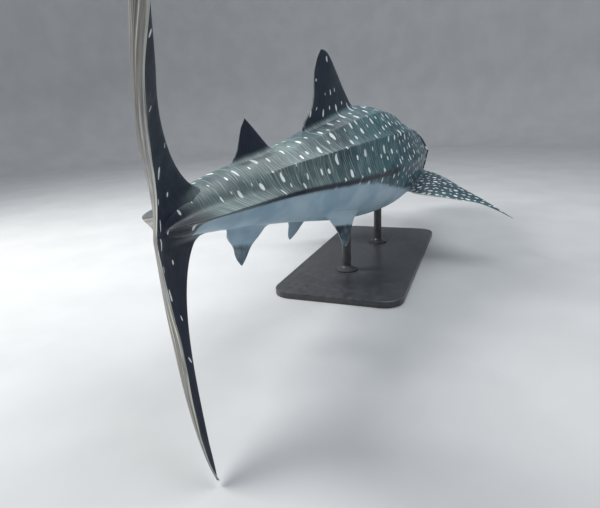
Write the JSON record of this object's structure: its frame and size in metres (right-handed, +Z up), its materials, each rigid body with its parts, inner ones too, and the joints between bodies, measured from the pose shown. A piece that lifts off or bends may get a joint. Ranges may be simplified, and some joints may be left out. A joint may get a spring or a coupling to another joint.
{
  "type": "whale shark display model",
  "caption": "Life-size whale shark, head turned gently left and tail swept right as if swimming, held over a flat base by short rods.",
  "frame": {"origin": "on the floor, at the middle of the underside of the stand's base", "axes": "+X towards the head, +Y to the shark's left, +Z up; the middle of the body lies close to the X axis"},
  "size_m": [6.3043, 2.9299, 2.185],
  "materials": {
    "skin_back": "satin, slate grey-teal with pale spots and bars",
    "skin_underside": "satin, pale and unspotted",
    "skin_fin": "satin, dark navy with sparse pale spots",
    "eye": "glossy black",
    "stand": "satin dark grey paint"
  },
  "bodies": {
    "root": {"head": "skin_back", "lower_jaw": "skin_underside", "trunk": "skin_back", "tail_stalk": "skin_back", "tail_upper_lobe": "skin_fin", "tail_lower_lobe": "skin_fin", "first_dorsal_fin": "skin_fin", "second_dorsal_fin": "skin_fin", "anal_fin": "skin_fin", "pectoral_fin_left": "skin_back", "pectoral_fin_right": "skin_back", "pelvic_fin_left": "skin_fin", "pelvic_fin_right": "skin_fin", "eye_left": "eye", "eye_right": "eye", "stand_base": "stand", "stand_rod_front": "stand", "stand_rod_rear": "stand"}
  },
  "joints": []
}
